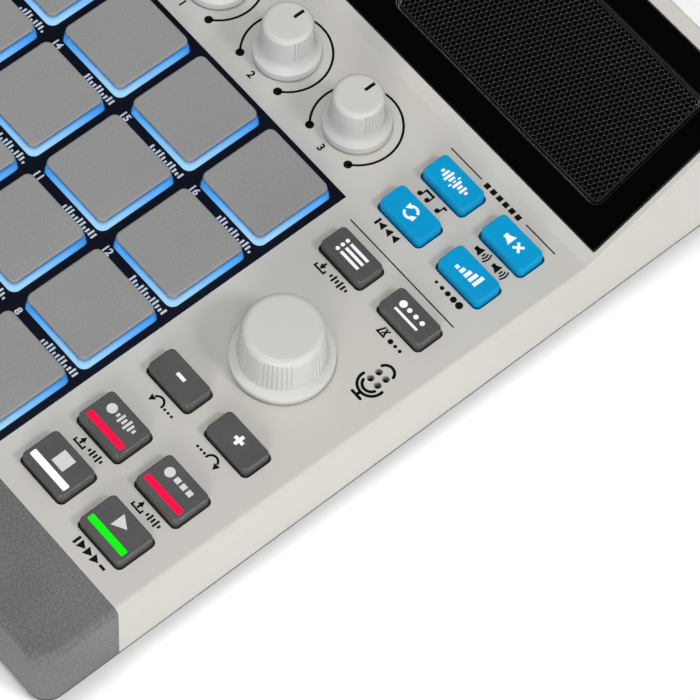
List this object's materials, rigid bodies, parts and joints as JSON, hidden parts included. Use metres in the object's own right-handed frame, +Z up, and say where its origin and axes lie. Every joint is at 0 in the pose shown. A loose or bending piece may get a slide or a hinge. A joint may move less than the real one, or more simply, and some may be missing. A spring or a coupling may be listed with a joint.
{
  "type": "groovebox sampler",
  "caption": "Portrait desktop sampler with a square field of lit pads, a column of buttons and a large encoder, turning knobs, and a sloping black rear window with a speaker grille.",
  "frame": {"origin": "centre of the footprint on the table, under the feet", "axes": "+X to the right of the player, +Y to the back, +Z up"},
  "size_m": [0.1798, 0.2362, 0.0507],
  "materials": {
    "shell_abs": "fine moulded satin, warm light grey",
    "base_abs": "near-black moulded",
    "rest_abs": "mid grey, fine spark texture",
    "pad_silicone": "grey coated silicone with a lit blue skirt",
    "mat_silicone": "translucent grey silicone",
    "blue_cap": "bright blue satin caps",
    "grey_cap": "dark grey satin caps",
    "knob_abs": "light grey moulded",
    "shaft_steel": "plated steel",
    "black_nylon": "black moulded",
    "part_metal": "pressed metal",
    "window_acrylic": "gloss black",
    "grille_steel": "black coated perforated sheet",
    "speaker_black": "black",
    "board_fr4": "green circuit board",
    "foot_rubber": "black rubber"
  },
  "bodies": {
    "chassis": {"top_shell": "shell_abs", "base_tray": "base_abs", "front_rest": "rest_abs", "feet": "foot_rubber", "screws": "shaft_steel", "pad_bezel": "base_abs", "pad_mat": "mat_silicone", "pad_sensor_board": "board_fr4", "control_board": "board_fr4", "encoder_body": "part_metal", "potentiometers": "part_metal", "mic_capsule": "part_metal", "top_window": "window_acrylic", "speaker_grille": "grille_steel", "speaker_driver": "speaker_black", "display_module": "speaker_black", "main_board": "board_fr4", "rear_panel": "base_abs", "line_jacks": "black_nylon", "mini_jacks": "black_nylon", "usb_socket": "part_metal", "card_socket": "part_metal", "battery_pack": "black_nylon"},
    "encoder_push": {"encoder_cup": "black_nylon"},
    "encoder_dial": {"encoder_knob": "knob_abs", "encoder_shaft": "shaft_steel"},
    "volume_knob": {"volume_knob": "knob_abs"},
    "knob_1": {"knob_1": "knob_abs"},
    "knob_2": {"knob_2": "knob_abs"},
    "knob_3": {"knob_3": "knob_abs"},
    "power_button": {"power_button": "black_nylon"},
    "mode_button_1": {"mode_button_1": "blue_cap"},
    "mode_button_2": {"mode_button_2": "blue_cap"},
    "mode_button_3": {"mode_button_3": "blue_cap"},
    "mode_button_4": {"mode_button_4": "blue_cap"},
    "select_button": {"select_button": "grey_cap"},
    "tap_button": {"tap_button": "grey_cap"},
    "minus_button": {"minus_button": "grey_cap"},
    "plus_button": {"plus_button": "grey_cap"},
    "sample_record_button": {"sample_record_button": "grey_cap"},
    "sequence_record_button": {"sequence_record_button": "grey_cap"},
    "stop_button": {"stop_button": "grey_cap"},
    "play_button": {"play_button": "grey_cap"},
    "pad_01": {"pad_01": "pad_silicone"},
    "pad_02": {"pad_02": "pad_silicone"},
    "pad_03": {"pad_03": "pad_silicone"},
    "pad_04": {"pad_04": "pad_silicone"},
    "pad_05": {"pad_05": "pad_silicone"},
    "pad_06": {"pad_06": "pad_silicone"},
    "pad_07": {"pad_07": "pad_silicone"},
    "pad_08": {"pad_08": "pad_silicone"},
    "pad_09": {"pad_09": "pad_silicone"},
    "pad_10": {"pad_10": "pad_silicone"},
    "pad_11": {"pad_11": "pad_silicone"},
    "pad_12": {"pad_12": "pad_silicone"},
    "pad_13": {"pad_13": "pad_silicone"},
    "pad_14": {"pad_14": "pad_silicone"},
    "pad_15": {"pad_15": "pad_silicone"},
    "pad_16": {"pad_16": "pad_silicone"}
  },
  "joints": [
    {"name": "encoder_push_press", "type": "slide", "parent": "chassis", "child": "encoder_push", "axis": [0, 0, -1], "range_m": [0, 0.0006], "stiffness_N_per_m": 1500, "springref_m": -0.0006},
    {"name": "encoder_turn", "type": "hinge", "parent": "encoder_push", "child": "encoder_dial", "pos_m": [0.0609, -0.01855, 0.027], "axis": [0, 0, -1], "continuous": true},
    {"name": "volume_knob_turn", "type": "hinge", "parent": "chassis", "child": "volume_knob", "pos_m": [-0.06495, 0.04025, 0.027], "axis": [0, 0, -1], "range_deg": [-150, 150]},
    {"name": "knob_1_turn", "type": "hinge", "parent": "chassis", "child": "knob_1", "pos_m": [-0.03655, 0.04025, 0.027], "axis": [0, 0, -1], "range_deg": [-150, 150]},
    {"name": "knob_2_turn", "type": "hinge", "parent": "chassis", "child": "knob_2", "pos_m": [-0.00815, 0.04025, 0.027], "axis": [0, 0, -1], "range_deg": [-150, 150]},
    {"name": "knob_3_turn", "type": "hinge", "parent": "chassis", "child": "knob_3", "pos_m": [0.02025, 0.04025, 0.027], "axis": [0, 0, -1], "range_deg": [-150, 150]},
    {"name": "power_button_press", "type": "slide", "parent": "chassis", "child": "power_button", "axis": [0, -1, 0], "range_m": [0, 0.0008], "stiffness_N_per_m": 600, "springref_m": -0.0005},
    {"name": "mode_button_1_press", "type": "slide", "parent": "chassis", "child": "mode_button_1", "axis": [0, 0, -1], "range_m": [0, 0.0008], "stiffness_N_per_m": 600, "springref_m": -0.0005},
    {"name": "mode_button_2_press", "type": "slide", "parent": "chassis", "child": "mode_button_2", "axis": [0, 0, -1], "range_m": [0, 0.0008], "stiffness_N_per_m": 600, "springref_m": -0.0005},
    {"name": "mode_button_3_press", "type": "slide", "parent": "chassis", "child": "mode_button_3", "axis": [0, 0, -1], "range_m": [0, 0.0008], "stiffness_N_per_m": 600, "springref_m": -0.0005},
    {"name": "mode_button_4_press", "type": "slide", "parent": "chassis", "child": "mode_button_4", "axis": [0, 0, -1], "range_m": [0, 0.0008], "stiffness_N_per_m": 600, "springref_m": -0.0005},
    {"name": "select_button_press", "type": "slide", "parent": "chassis", "child": "select_button", "axis": [0, 0, -1], "range_m": [0, 0.0008], "stiffness_N_per_m": 600, "springref_m": -0.0005},
    {"name": "tap_button_press", "type": "slide", "parent": "chassis", "child": "tap_button", "axis": [0, 0, -1], "range_m": [0, 0.0008], "stiffness_N_per_m": 600, "springref_m": -0.0005},
    {"name": "minus_button_press", "type": "slide", "parent": "chassis", "child": "minus_button", "axis": [0, 0, -1], "range_m": [0, 0.0008], "stiffness_N_per_m": 600, "springref_m": -0.0005},
    {"name": "plus_button_press", "type": "slide", "parent": "chassis", "child": "plus_button", "axis": [0, 0, -1], "range_m": [0, 0.0008], "stiffness_N_per_m": 600, "springref_m": -0.0005},
    {"name": "sample_record_button_press", "type": "slide", "parent": "chassis", "child": "sample_record_button", "axis": [0, 0, -1], "range_m": [0, 0.0008], "stiffness_N_per_m": 600, "springref_m": -0.0005},
    {"name": "sequence_record_button_press", "type": "slide", "parent": "chassis", "child": "sequence_record_button", "axis": [0, 0, -1], "range_m": [0, 0.0008], "stiffness_N_per_m": 600, "springref_m": -0.0005},
    {"name": "stop_button_press", "type": "slide", "parent": "chassis", "child": "stop_button", "axis": [0, 0, -1], "range_m": [0, 0.0008], "stiffness_N_per_m": 600, "springref_m": -0.0005},
    {"name": "play_button_press", "type": "slide", "parent": "chassis", "child": "play_button", "axis": [0, 0, -1], "range_m": [0, 0.0008], "stiffness_N_per_m": 600, "springref_m": -0.0005},
    {"name": "pad_01_press", "type": "slide", "parent": "chassis", "child": "pad_01", "axis": [0, 0, -1], "range_m": [0, 0.0008], "stiffness_N_per_m": 1500, "springref_m": -0.0004},
    {"name": "pad_02_press", "type": "slide", "parent": "chassis", "child": "pad_02", "axis": [0, 0, -1], "range_m": [0, 0.0008], "stiffness_N_per_m": 1500, "springref_m": -0.0004},
    {"name": "pad_03_press", "type": "slide", "parent": "chassis", "child": "pad_03", "axis": [0, 0, -1], "range_m": [0, 0.0008], "stiffness_N_per_m": 1500, "springref_m": -0.0004},
    {"name": "pad_04_press", "type": "slide", "parent": "chassis", "child": "pad_04", "axis": [0, 0, -1], "range_m": [0, 0.0008], "stiffness_N_per_m": 1500, "springref_m": -0.0004},
    {"name": "pad_05_press", "type": "slide", "parent": "chassis", "child": "pad_05", "axis": [0, 0, -1], "range_m": [0, 0.0008], "stiffness_N_per_m": 1500, "springref_m": -0.0004},
    {"name": "pad_06_press", "type": "slide", "parent": "chassis", "child": "pad_06", "axis": [0, 0, -1], "range_m": [0, 0.0008], "stiffness_N_per_m": 1500, "springref_m": -0.0004},
    {"name": "pad_07_press", "type": "slide", "parent": "chassis", "child": "pad_07", "axis": [0, 0, -1], "range_m": [0, 0.0008], "stiffness_N_per_m": 1500, "springref_m": -0.0004},
    {"name": "pad_08_press", "type": "slide", "parent": "chassis", "child": "pad_08", "axis": [0, 0, -1], "range_m": [0, 0.0008], "stiffness_N_per_m": 1500, "springref_m": -0.0004},
    {"name": "pad_09_press", "type": "slide", "parent": "chassis", "child": "pad_09", "axis": [0, 0, -1], "range_m": [0, 0.0008], "stiffness_N_per_m": 1500, "springref_m": -0.0004},
    {"name": "pad_10_press", "type": "slide", "parent": "chassis", "child": "pad_10", "axis": [0, 0, -1], "range_m": [0, 0.0008], "stiffness_N_per_m": 1500, "springref_m": -0.0004},
    {"name": "pad_11_press", "type": "slide", "parent": "chassis", "child": "pad_11", "axis": [0, 0, -1], "range_m": [0, 0.0008], "stiffness_N_per_m": 1500, "springref_m": -0.0004},
    {"name": "pad_12_press", "type": "slide", "parent": "chassis", "child": "pad_12", "axis": [0, 0, -1], "range_m": [0, 0.0008], "stiffness_N_per_m": 1500, "springref_m": -0.0004},
    {"name": "pad_13_press", "type": "slide", "parent": "chassis", "child": "pad_13", "axis": [0, 0, -1], "range_m": [0, 0.0008], "stiffness_N_per_m": 1500, "springref_m": -0.0004},
    {"name": "pad_14_press", "type": "slide", "parent": "chassis", "child": "pad_14", "axis": [0, 0, -1], "range_m": [0, 0.0008], "stiffness_N_per_m": 1500, "springref_m": -0.0004},
    {"name": "pad_15_press", "type": "slide", "parent": "chassis", "child": "pad_15", "axis": [0, 0, -1], "range_m": [0, 0.0008], "stiffness_N_per_m": 1500, "springref_m": -0.0004},
    {"name": "pad_16_press", "type": "slide", "parent": "chassis", "child": "pad_16", "axis": [0, 0, -1], "range_m": [0, 0.0008], "stiffness_N_per_m": 1500, "springref_m": -0.0004}
  ]
}
